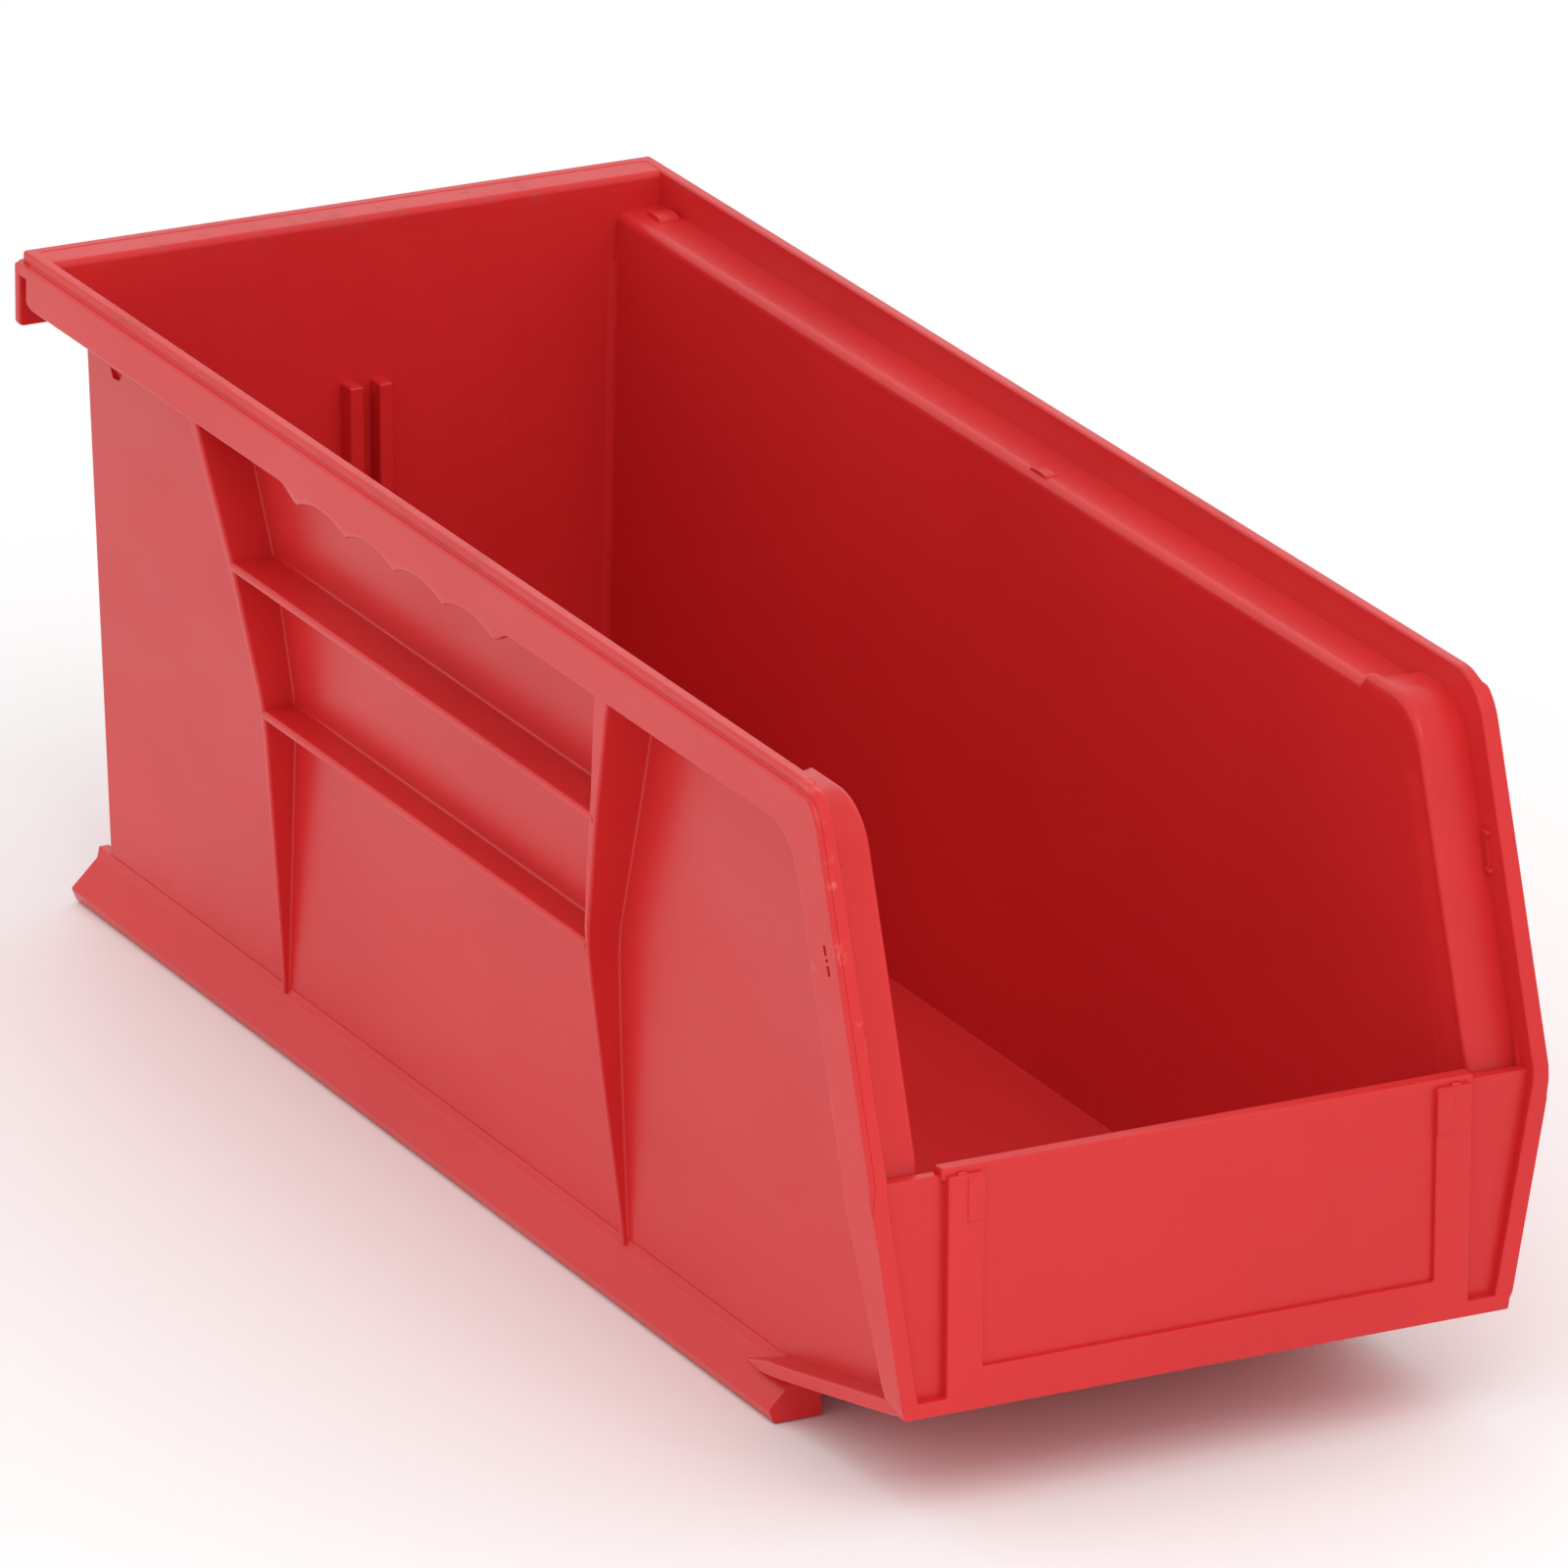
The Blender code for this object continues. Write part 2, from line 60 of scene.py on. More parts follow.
def node_box(name):
    """A CAD node's box in millimetres."""
    low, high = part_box(name)
    return [v / MM for v in low], [v / MM for v in high]


# Overall sizes and levels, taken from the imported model.
HALF_W = CAD_BOX[1][0] / MM
HALF_L = CAD_BOX[1][1] / MM
HEIGHT = CAD_BOX[1][2] / MM
LEDGE_X = node_box("right_stacking_ledge")[0][0]
LEDGE_Z = node_box("right_stacking_ledge")[1][2]
FLOOR_TOP = node_box("floor_panel")[1][2]
FLOOR_UNDER = node_box("floor_panel")[0][2]
FRONT_IN = node_box("front_wall")[1][1]
FRONT_TOP = node_box("front_wall")[1][2]
LIP_LOW = node_box("hanging_lip")[0][2]
LIP_IN = node_box("hanging_lip")[0][1]
BACK_IN_TOP = node_box("rear_rim")[0][1]
FOOT_REAR = node_box("right_foot_rail")[1][1]
FOOT_FRONT = node_box("right_foot_rail")[0][1]
FOOT_IN = node_box("right_foot_rail")[0][0]
FOOT_OUT = node_box("right_foot_rail")[1][0]
GUIDE_TOP = node_box("right_divider_guide")[1][2]
GUIDE_IN = node_box("right_divider_guide")[0][0]
GUIDE_OUT = node_box("right_divider_guide")[1][0]
RAIL_IN = node_box("right_label_rail")[0][0]
RAIL_OUT = node_box("right_label_rail")[1][0]
RAIL_TOP = node_box("right_label_rail")[1][2]
CARD_FLOOR = node_box("label_bottom_rail")[1][2]
SHELF_TOPS = (node_box("right_upper_shelf")[1][2], node_box("right_lower_shelf")[1][2])

# Section sizes of the moulding, in millimetres. X is across, Y is along, T is a depth
# below the top or from the slope, and R is a radius.
WALL_T = 2.2
WALL_TOP_X = 42.2
WALL_BOTTOM_X = 39.6
WALL_TOP_Z = 94.4
BACK_BOTTOM_Y = 127.5
BACK_T = 2.0
BACK_TOP_Z = 97.8
RAMP_Y = -88.0
RAMP_SLOPE = 0.2117
CORNER_Y = -120.0
LIP_Z = 50.4
UPSTAND_X = 49.75
SKIRT_X = 50.3
BEAD_X = 51.6
BEAD_H = 1.6
BEAD_H_SLOPE = 0.2
SKIRT_T = 8.1
SLOPE_BAND = 9.2
FLANGE_REAR_Y = 133.9
LEDGE_T = 5.3
LEDGE_R = 12.0
LEDGE_RISE = 1.3
RAISED_R = 9.5
RISE_Y = -100.6
WALL_TOP_T = 6.8
FLARE_T = 13.0
BAND_TOP = 101.5
CAVITY_TOP = 140.0
SKIRT_REAR_R = 1.7
SIDE_OUT = -136.3
PLATE_OUT = -137.0
STRIP_X = 45.7
GRIP_START = 41.9
GRIP_PITCH = 15.8
GRIP_ARCHES = 4
GRIP_BLEND = 5.5
GRIP_DROP = 1.95
GRIP_ARCH_H = 1.55


def mix(a, b, t):
    return a + (b - a) * t


def smooth(t):
    """Eases 0..1 in and out."""
    return t * t * (3 - 2 * t)


def table(x, pairs):
    """Linear interpolation in a short list of (x, value) pairs."""
    if x <= pairs[0][0]:
        return pairs[0][1]
    for (x0, v0), (x1, v1) in zip(pairs, pairs[1:]):
        if x <= x1:
            return mix(v0, v1, (x - x0) / (x1 - x0))
    return pairs[-1][1]


def unit(a, b):
    length = math.dist(a, b)
    return ((b[0] - a[0]) / length, (b[1] - a[1]) / length)


def arc_at(before, corner, after, radius, steps):
    """Points of the arc that rounds one corner of a flat polyline."""
    a, b = unit(corner, before), unit(corner, after)
    dot = max(-1.0, min(1.0, a[0] * b[0] + a[1] * b[1]))
    half = math.acos(dot) / 2
    if half > math.pi / 2 - 0.01 or radius <= 0:
        return [corner]
    tangent = radius / math.tan(half)
    reach = radius / math.sin(half)
    middle = unit((0, 0), (a[0] + b[0], a[1] + b[1]))
    centre = (corner[0] + middle[0] * reach, corner[1] + middle[1] * reach)
    start = (corner[0] + a[0] * tangent, corner[1] + a[1] * tangent)
    end = (corner[0] + b[0] * tangent, corner[1] + b[1] * tangent)
    first = math.atan2(start[1] - centre[1], start[0] - centre[0])
    turn = math.atan2(end[1] - centre[1], end[0] - centre[0]) - first
    turn = (turn + math.pi) % (2 * math.pi) - math.pi
    return [
        (
            centre[0] + radius * math.cos(first + turn * i / steps),
            centre[1] + radius * math.sin(first + turn * i / steps),
        )
        for i in range(steps + 1)
    ]


def round_polygon(corners, steps=4):
    """A closed polygon whose corners (x, y, radius) are rounded."""
    points = []
    for i, (x, y, radius) in enumerate(corners):
        before = corners[i - 1][:2]
        after = corners[(i + 1) % len(corners)][:2]
        points += arc_at(before, (x, y), after, radius, steps)
    return points


def slope_point(inset, z):
    """The point at this height on the front slope, moved inwards by the inset."""
    corner, lip = (CORNER_Y, HEIGHT), (-HALF_L, LIP_Z)
    along = unit(corner, lip)
    start = (corner[0] - along[1] * inset, corner[1] + along[0] * inset)
    t = (z - start[1]) / along[1]
    return (start[0] + along[0] * t, z)


def wall_x(z):
    """The side wall's inner face."""
    return mix(WALL_BOTTOM_X, WALL_TOP_X, (z - FLOOR_TOP) / (WALL_TOP_Z - FLOOR_TOP))


def back_y(z):
    """The back wall's inner face."""
    return mix(BACK_BOTTOM_Y, BACK_IN_TOP, (z - FLOOR_TOP) / (BACK_TOP_Z - FLOOR_TOP))


def ramp_under(y):
    return FLOOR_UNDER + max(0.0, RAMP_Y - y) * RAMP_SLOPE


def solid(points, faces):
    """A bmesh in millimetres with its faces turned outwards."""
    work = bmesh.new()
    verts = [work.verts.new(p) for p in points]
    for face in faces:
        work.faces.new([verts[i] for i in face])
    bmesh.ops.remove_doubles(work, verts=work.verts, dist=1e-5)
    bmesh.ops.recalc_face_normals(work, faces=work.faces)
    return work


def loft(rings):
    count = len(rings[0])
    points = [p for ring in rings for p in ring]
    faces = [tuple(range(count)), tuple(range(len(points) - count, len(points)))]
    for start in range(0, len(points) - count, count):
        for i in range(count):
            j = (i + 1) % count
            faces.append((start + i, start + j, start + count + j, start + count + i))
    return solid(points, faces)


def bevelled(work, width, steps=3, angle=28.0):
    """Rounds every edge sharper than the angle."""
    limit = math.radians(angle)
    edges = [e for e in work.edges if len(e.link_faces) == 2 and e.calc_face_angle() > limit]
    bmesh.ops.bevel(
        work, geom=edges, offset=width, offset_type="OFFSET", segments=steps,
        profile=0.5, affect="EDGES", clamp_overlap=True,
    )
    return work


def along_x(outline, low, high):
    return loft([[(x, y, z) for y, z in outline] for x in (low, high)])


def along_y(outline, low, high):
    return loft([[(x, y, z) for x, z in outline] for y in (low, high)])


def along_z(outline, low, high):
    return loft([[(x, y, z) for x, y in outline] for z in (low, high)])


def box(low, high):
    outline = [(low[1], low[2]), (high[1], low[2]), (high[1], high[2]), (low[1], high[2])]
    return along_x(outline, low[0], high[0])


def mirrored(work):
    bmesh.ops.scale(work, vec=(-1, 1, 1), verts=work.verts)
    bmesh.ops.reverse_faces(work, faces=work.faces)
    return work


def as_object(work, name):
    """A Blender object from a bmesh in millimetres."""
    bmesh.ops.scale(work, vec=(MM, MM, MM), verts=work.verts)
    mesh = bpy.data.meshes.new(name)
    work.to_mesh(mesh)
    work.free()
    obj = bpy.data.objects.new(name, mesh)
    bpy.context.scene.collection.objects.link(obj)
    return obj


def boolean(target, others, operation):
    """Joins or cuts, one other solid at a time, and removes the others."""
    for other in others:
        modifier = target.modifiers.new("join", "BOOLEAN")
        modifier.operation = operation
        modifier.solver = "MANIFOLD"
        modifier.object = other
    bpy.context.view_layer.update()
    graph = bpy.context.evaluated_depsgraph_get()
    made = bpy.data.meshes.new_from_object(target.evaluated_get(graph))
    target.modifiers.clear()
    target.data = made
    for other in others:
        bpy.data.objects.remove(other, do_unlink=True)
    return target


# ---------------------------------------------------------------- the tub


def inset_path(inset, radius, steps=12):
    """The arc from the top line to the slope, both moved inwards by the inset."""
    top = HEIGHT - inset
    corner = slope_point(inset, top)
    far = slope_point(inset, 20.0)
    return arc_at((HALF_L, top), corner, far, radius, steps)


def tub_outline(front_y):
    """The tub's side view under the ledge: rear top, corner arc, slope, front, floor."""
    inset = WALL_TOP_T + 0.02
    top = HEIGHT - inset
    arc = inset_path(inset, LEDGE_R + LEDGE_T - inset)
    far = slope_point(inset, FRONT_TOP - 2.0)
    return arc + [
        far,
        (front_y, FRONT_TOP - 3.0),
        (front_y, ramp_under(front_y)),
        (RAMP_Y, FLOOR_UNDER),
        (back_y(FLOOR_UNDER) + BACK_T, FLOOR_UNDER),
        (back_y(top) + BACK_T, top),
    ]


def make_tub():
    outline = tub_outline(SIDE_OUT + 0.1)
    rings = []
    for side in (-1, 1):
        rings.append([(side * (wall_x(z) + WALL_T), y, z) for y, z in outline])
    outer = bevelled(loft(rings), 1.1, 4, 40)
    ramp_top = ramp_under(FRONT_IN) + FLOOR_TOP - FLOOR_UNDER
    cavity = [
        (FRONT_IN, CAVITY_TOP),
        (FRONT_IN, ramp_top),
        (RAMP_Y, FLOOR_TOP),
        (back_y(FLOOR_TOP), FLOOR_TOP),
        (back_y(CAVITY_TOP), CAVITY_TOP),
    ]
    rings = []
    for side in (-1, 1):
        rings.append([(side * wall_x(z), y, z) for y, z in cavity])
    inner = loft(rings)
    corners = [
        e for e in inner.edges
        if min(v.co.y for v in e.verts) > 120 and abs(e.verts[0].co.z - e.verts[1].co.z) > 50
    ]
    bmesh.ops.bevel(
        inner, geom=corners, offset=1.3, offset_type="OFFSET", segments=5, profile=0.5,
        affect="EDGES", clamp_overlap=True,
    )
    bevelled(inner, 0.2, 2, 40)
    cuts = [as_object(inner, "cavity")]
    cuts += [as_object(work, "wall_flare") for work in both_sides(make_wall_flare)]
    tub = as_object(outer, "moulded_bin")
    return boolean(tub, cuts, "DIFFERENCE")


def make_wall_flare():
    """Cuts the wall's inner face back, under the ledge, to the ledge's inner edge."""
    steps = 12
    depths = (2.0, WALL_TOP_T, 9.0, 11.0, 13.0, FLARE_T)
    rows = []
    for t in depths:
        top = HEIGHT - t
        corner, far = slope_point(t, top), slope_point(t, 20.0)
        radius = max(2.0, LEDGE_R + LEDGE_T - t)
        arc = arc_at((HALF_L, top), corner, far, radius, steps)
        low = slope_point(t, 30.0)
        rows.append([(back_y(top) - 0.01, top)] + arc + [low])
    rings = []
    for k in range(len(rows[0])):
        ring = [(38.0, *rows[0][k])]
        for t, row in zip(depths, rows):
            y, z = row[k]
            share = max(0.0, (t - WALL_TOP_T) / (FLARE_T - WALL_TOP_T))
            x = mix(LEDGE_X - 0.01, wall_x(z) - 0.15, smooth(share))
            ring.append((x, y, z))
        ring.append((38.0, *rows[-1][k]))
        rings.append(ring)
    return loft(rings)


# ---------------------------------------------------------------- the rim


def rail_inset(t):
    """Inset from the slope for a rail whose inset from the top is t."""
    return table(t, ((0.0, 0.0), (LEDGE_T, LEDGE_T), (7.2, 7.3), (SKIRT_T, SLOPE_BAND)))


def rail_radius(t):
    return table(t, ((0.0, 8.5), (BEAD_H, 8.6), (LEDGE_T, LEDGE_R), (7.2, 10.6), (SKIRT_T, 8.5)))


def rail_arc(t, steps):
    """The rail's rounded corner between the top line and the slope."""
    top = HEIGHT - t
    inset = rail_inset(t)
    corner = slope_point(inset, top)
    far = slope_point(inset, 20.0)
    return arc_at((HALF_L, top), corner, far, rail_radius(t), steps)


def rim_section(step):
    """The rim's section as (x, depth) points, for a bead that stands up by this step."""
    small = min(0.45, step * 0.45)
    return round_polygon(
        [
            (UPSTAND_X, 0.0, 0.4),
            (BEAD_X, 0.0, small),
            (BEAD_X, step, small * 0.5),
            (HALF_W, step, 0.4),
            (HALF_W, SKIRT_T, 0.55),
            (SKIRT_X, SKIRT_T, 0.5),
            (SKIRT_X, 7.2, 0.0),
            (UPSTAND_X, 6.8, 0.0),
        ],
        4,
    )


def skirt_depth(y):
    """How far the skirt's lower edge lies below the top: rounded at its rear end and
    scalloped at the finger grip."""
    radius = SKIRT_REAR_R
    if y > FLANGE_REAR_Y - radius:
        d = (y - FLANGE_REAR_Y + radius) / radius
        return SKIRT_T - radius * (1 - math.sqrt(max(0.0, 1 - d * d)))
    start, end = GRIP_START, GRIP_START - GRIP_ARCHES * GRIP_PITCH
    if end <= y <= start:
        t = ((start - y) / GRIP_PITCH) % 1.0
        return SKIRT_T + GRIP_DROP - GRIP_ARCH_H * math.sin(math.pi * t) ** 0.8
    if start < y < start + GRIP_BLEND:
        return SKIRT_T + GRIP_DROP * smooth((start + GRIP_BLEND - y) / GRIP_BLEND)
    if end - GRIP_BLEND < y < end:
        return SKIRT_T + GRIP_DROP * smooth((y - end + GRIP_BLEND) / GRIP_BLEND)
    return SKIRT_T


def rim_stations():
    rear = FLANGE_REAR_Y
    ys = [rear - SKIRT_REAR_R * (1 - math.cos(a * math.pi / 12)) for a in range(0, 7)]
    ys += [120.0, 100.0, 80.0, 60.0, GRIP_START + GRIP_BLEND]
    ys += [GRIP_START + GRIP_BLEND * (1 - i / 5) for i in range(1, 5)]
    for arch in range(GRIP_ARCHES):
        start = GRIP_START - arch * GRIP_PITCH
        ys += [start - GRIP_PITCH * i / 12 for i in range(12)]
    end = GRIP_START - GRIP_ARCHES * GRIP_PITCH
    ys += [end - GRIP_BLEND * i / 5 for i in range(0, 6)]
    ys += [-50.0, -80.0]
    return ys


def below_lip(t, x, share):
    """A rim point on the narrowing front edge under the lip; share runs from 0 to 1."""
    outer = (mix(-HALF_L, -137.7, share), mix(LIP_Z - 2.0, 15.6, share))
    inner = (mix(-129.6, -131.6, share), mix(LIP_Z - 4.6, 16.6, share))
    part = t / SLOPE_BAND if t > SKIRT_T - 0.01 else rail_inset(t) / SLOPE_BAND
    part = min(1.0, part)
    fade = min(1.0, share * 9 + 0.25)
    if x > UPSTAND_X + 0.6 and t < BEAD_H + 0.01:
        x = mix(x, HALF_W, fade * min(1.0, (x - UPSTAND_X - 0.6) / 0.9))
        part *= mix(1.0, 0.6, fade)
    shift = mix(0.0, HALF_W - 47.0, share)
    point = (mix(outer[0], inner[0], part), mix(outer[1], inner[1], part))
    return (x - shift, point[0], point[1])


def make_rim_band():
    section = rim_section(BEAD_H)
    rings = []
    for y in rim_stations():
        depth = skirt_depth(y)
        ring = []
        for x, t in section:
            if t > 7.2:
                t = 7.2 + (t - 7.2) * (depth - 7.2) / (SKIRT_T - 7.2)
            elif depth < SKIRT_T and t > 3.0:
                t = 3.0 + (t - 3.0) * (depth - 3.0) / (SKIRT_T - 3.0)
            ring.append((x, y, HEIGHT - t))
        rings.append(ring)
    steps = 16
    for k in range(steps + 1):
        share = table(k, ((3.0, 0.0), (9.0, 1.0)))
        section = rim_section(mix(BEAD_H, BEAD_H_SLOPE, smooth(share)))
        rings.append([(x, *rail_arc(t, steps)[k]) for x, t in section])
    lip = []
    for x, t in section:
        y, z = slope_point(rail_inset(t), LIP_Z - rail_inset(t) * 0.2)
        lip.append((x, max(y, -HALF_L), z))
    rings.append(lip)
    for share in (0.0, 0.03, 0.08, 0.14, 0.25, 0.4, 0.6, 0.8, 0.93):
        rings.append([below_lip(t, x, share) for x, t in section])
    last = [below_lip(t, x, 1.0) for x, t in section]
    rings.append([(x - 0.25, y + 0.35, z + 0.3) for x, y, z in last])
    return loft(rings)


def raised(t):
    """Depth of a ledge point on the raised front corner."""
    return t - LEDGE_RISE * table(t, ((5.9, 1.0), (7.1, 0.0)))


def ledge_arc(t, steps):
    """A ledge point's path round the raised corner and on to the slope."""
    top = HEIGHT - raised(t)
    lift = (t - raised(t)) / LEDGE_RISE
    radius = mix(LEDGE_R, RAISED_R, lift) + LEDGE_T - t
    return arc_at((HALF_L, top), slope_point(t, top), slope_point(t, 20.0), radius, steps)


def ledge_section(radius):
    """The ledge's section as (x, depth) points, with this radius on its inner edge."""
    return round_polygon(
        [
            (LEDGE_X, 8.6, 0.0),
            (LEDGE_X, LEDGE_T, radius),
            (UPSTAND_X, LEDGE_T, 0.0),
            (UPSTAND_X, 3.6, 0.0),
            (UPSTAND_X + 1.0, 3.6, 0.0),
            (UPSTAND_X + 1.0, 7.2, 0.0),
            (LEDGE_X + WALL_T + 0.9, 7.2, 0.0),
            (LEDGE_X + WALL_T - 0.4, 8.6, 0.0),
        ],
        6,
    )


def rise_share(x, distance):
    """How far the ledge has risen: steeply at its inner edge, gently by the rim."""
    return smooth(min(1.0, distance / table(x, ((43.2, 1.3), (47.5, 5.5)))))


def make_ledge():
    section = ledge_section(1.5)
    rings = []
    for y in (back_y(96.0) + 1.0, 60.0, 0.0, -60.0, RISE_Y):
        rings.append([(x, y, HEIGHT - t) for x, t in section])
    for d in (0.3, 0.6, 0.9, 1.3, 1.9, 2.7, 3.6, 4.6, 5.5):
        ring = []
        for x, t in section:
            ring.append((x, RISE_Y - d, HEIGHT - mix(t, raised(t), rise_share(x, d))))
        rings.append(ring)
    steps = 16
    for k in range(steps + 1):
        section = ledge_section(mix(1.5, 0.9, k / steps))
        rings.append([(x, *ledge_arc(t, steps)[k]) for x, t in section])
    section = ledge_section(0.9)
    last = rings[-1]
    end = []
    for x, t in section:
        a, b = slope_point(t, 80.0), slope_point(t, 20.0)
        share = (FRONT_IN - 0.8 - a[0]) / (b[0] - a[0])
        end.append((x, FRONT_IN - 0.8, mix(80.0, 20.0, share)))
    near = []
    for start, stop in zip(last, end):
        share = 1 - 8.0 / (start[2] - stop[2])
        near.append((stop[0], mix(start[1], stop[1], share), mix(start[2], stop[2], share)))
    rings.append(near)
    rings.append([(x - max(0.0, x - 46.0) * 0.2, y, z) for x, y, z in end])
    return loft(rings)


def make_rear_rim():
    """The band behind the back wall, the raised bead and the downturned hanging lip."""
    pieces = []
    plate_top = HEIGHT - BEAD_H
    outline = [
        (-HALF_W, FLANGE_REAR_Y - 0.9, 0.0),
        (-HALF_W, HALF_L, 1.6),
        (HALF_W, HALF_L, 1.6),
        (HALF_W, FLANGE_REAR_Y - 0.9, 0.0),
    ]
    plate = along_z(round_polygon(outline, 5), 98.0, plate_top)
    pieces.append(bevelled(plate, 0.3, 2))
    band = box((-50.6, BACK_IN_TOP, 97.0), (50.6, 136.4, BAND_TOP))
    pieces.append(bevelled(band, 1.0, 4))
    bead_in = 134.8
    bead_out = 137.0
    outline = [
        (-BEAD_X, 131.0, 0.0),
        (-BEAD_X, bead_out, 0.7),
        (BEAD_X, bead_out, 0.7),
        (BEAD_X, 131.0, 0.0),
        (UPSTAND_X, 131.0, 0.0),
        (UPSTAND_X, bead_in, 0.7),
        (-UPSTAND_X, bead_in, 0.7),
        (-UPSTAND_X, 131.0, 0.0),
    ]
    bead = along_z(round_polygon(outline, 5), 98.5, HEIGHT)
    edges = [
        e for e in bead.edges
        if all(v.co.z > HEIGHT - 0.01 for v in e.verts)
        and max(v.co.y for v in e.verts) > 131.01
    ]
    bmesh.ops.bevel(
        bead, geom=edges, offset=0.45, offset_type="OFFSET", segments=4, profile=0.5,
        affect="EDGES", clamp_overlap=True,
    )
    pieces.append(bead)
    outline = [
        (-HALF_W, plate_top - 0.4, 0.0),
        (-HALF_W, LIP_LOW, 0.8),
        (HALF_W, LIP_LOW, 0.8),
        (HALF_W, plate_top - 0.4, 0.0),
    ]
    lip = along_y(round_polygon(outline, 5), LIP_IN, HALF_L)
    pieces.append(bevelled(lip, 0.35, 3))
    brace = [(LIP_IN - 1.2, 98.3), (LIP_IN + 0.5, 98.3), (LIP_IN + 0.5, 96.8)]
    pieces.append(along_x(brace, -HALF_W + 0.6, HALF_W - 0.6))
    return pieces


# ---------------------------------------------------------------- back and front


def make_back_top():
    """Carries the back wall up to the rim."""
    low, high = 94.3, 99.0
    outline = [
        (back_y(low), low),
        (back_y(low) + BACK_T, low),
        (back_y(high) + BACK_T, high),
        (back_y(high), high),
    ]
    return along_x(outline, -UPSTAND_X - 0.7, UPSTAND_X + 0.7)


def make_front_wall():
    """The front wall: low sides that spread to the front edges, and a thicker middle."""
    side_top = FRONT_TOP - 1.0
    half = [(45.3, 15.6), (UPSTAND_X + 0.5, side_top - 0.4), (UPSTAND_X + 0.5, side_top)]
    outline = half + [(-x, z) for x, z in reversed(half)]
    sides = bevelled(along_y(outline, SIDE_OUT, FRONT_IN), 0.5, 4, 40)
    behind = RAIL_OUT - 0.2
    half = [(behind, 16.4), (behind, RAIL_TOP - 1.0), (41.1, RAIL_TOP - 0.6), (41.1, FRONT_TOP)]
    outline = half + [(-x, z) for x, z in reversed(half)]
    middle = bevelled(along_y(outline, PLATE_OUT, FRONT_IN + 0.03), 0.55, 4, 40)
    return [sides, middle]


def make_front_frame():
    """Label rails, the band under them and the bottom edge: one raised frame."""
    pieces = []
    face = -HALF_L + 0.25
    base, band_top = 15.4, 17.7
    half = [(46.8, base), (47.1, band_top), (RAIL_OUT, band_top), (RAIL_OUT, RAIL_TOP)]
    half += [(RAIL_IN, RAIL_TOP), (RAIL_IN, CARD_FLOOR)]
    outline = half + [(-x, z) for x, z in reversed(half)]
    plate = along_y(outline, face, SIDE_OUT + 0.5)
    pieces.append(bevelled(plate, 0.3, 3, 40))
    for side in (-1, 1):
        low, high = sorted((side * (RAIL_IN + 2.4), side * (RAIL_IN + 4.0)))
        nub = box((low, PLATE_OUT - 0.6, RAIL_TOP - 0.6), (high, PLATE_OUT + 0.2, RAIL_TOP + 0.35))
        pieces.append(bevelled(nub, 0.35, 3))
        low, high = sorted((side * RAIL_IN, side * (RAIL_IN + 2.6)))
        pad = box((low, -HALF_L + 0.05, RAIL_TOP - 6.8), (high, face + 0.6, RAIL_TOP - 0.3))
        pieces.append(bevelled(pad, 0.18, 3))
    return pieces


def make_guides():
    pieces = []
    for side in (-1, 1):
        rings = []
        for z in (FLOOR_TOP - 0.5, GUIDE_TOP):
            back = back_y(z) + 0.5
            proud = back_y(z) - 3.4
            section = [(GUIDE_IN, back), (GUIDE_IN, proud), (GUIDE_OUT, proud), (GUIDE_OUT, back)]
            rings.append([(side * x, y, z) for x, y in section])
        pieces.append(bevelled(loft(rings), 0.45, 3, 40))
    return pieces


# ---------------------------------------------------------------- feet and strips


def strip_top(y):
    """The base strip's top edge: it follows the ramp, then drops on to the foot."""
    return table(y, ((-93.0, ramp_under(min(y, -93.0)) + 1.9), (-82.5, 4.3)))


def make_foot():
    skin = wall_x(6.6) + WALL_T
    outline = round_polygon(
        [
            (FOOT_IN, 0.0, 0.4),
            (FOOT_OUT - 0.9, 0.0, 0.4),
            (FOOT_OUT, 2.1, 0.5),
            (skin + 0.5, 6.3, 0.9),
            (skin + 0.15, 8.0, 0.0),
            (skin - 1.4, 8.0, 0.0),
            (skin - 1.4, 5.6, 0.0),
            (FOOT_IN, 5.6, 0.0),
        ],
        4,
    )
    foot = along_y(outline, FOOT_FRONT, FOOT_REAR)
    ends = [
        e for e in foot.edges
        if abs(e.verts[0].co.y - e.verts[1].co.y) < 1e-6 and min(v.co.z for v in e.verts) < 5.5
        and max(v.co.z for v in e.verts) < 7.9
    ]
    bmesh.ops.bevel(
        foot, geom=ends, offset=0.25, offset_type="OFFSET", segments=2, profile=0.5,
        affect="EDGES", clamp_overlap=True,
    )
    return foot


def make_base_strip():
    """The lower edge of the ramp, from the flare to the bottom front corner."""
    outer = ((-137.0, 46.3), (-131.0, 45.8), (-99.0, STRIP_X), (-92.0, 45.2), (-82.5, 43.6))
    rings = []
    for y in (-82.5, -86.0, -89.5, -93.0, -97.0, -103.0, -115.0, -127.0, -131.0, -137.0):
        low = max(3.0, ramp_under(y) - 0.25) if y > -136.0 else 15.5
        x = table(y, outer)
        top = strip_top(y)
        section = [(40.6, low, 0), (x, low, 0.35), (x, top, 0.45), (40.6, top, 0)]
        rings.append([(px, y, pz) for px, pz in round_polygon(section, 4)])
    return loft(rings)


# ---------------------------------------------------------------- side ribs


def rib_x(z):
    """How far out the gussets and shelves reach."""
    return table(z, ((8.0, 42.6), (13.0, 43.2), (53.5, 48.3), (74.8, 50.7), (93.0, 52.1)))


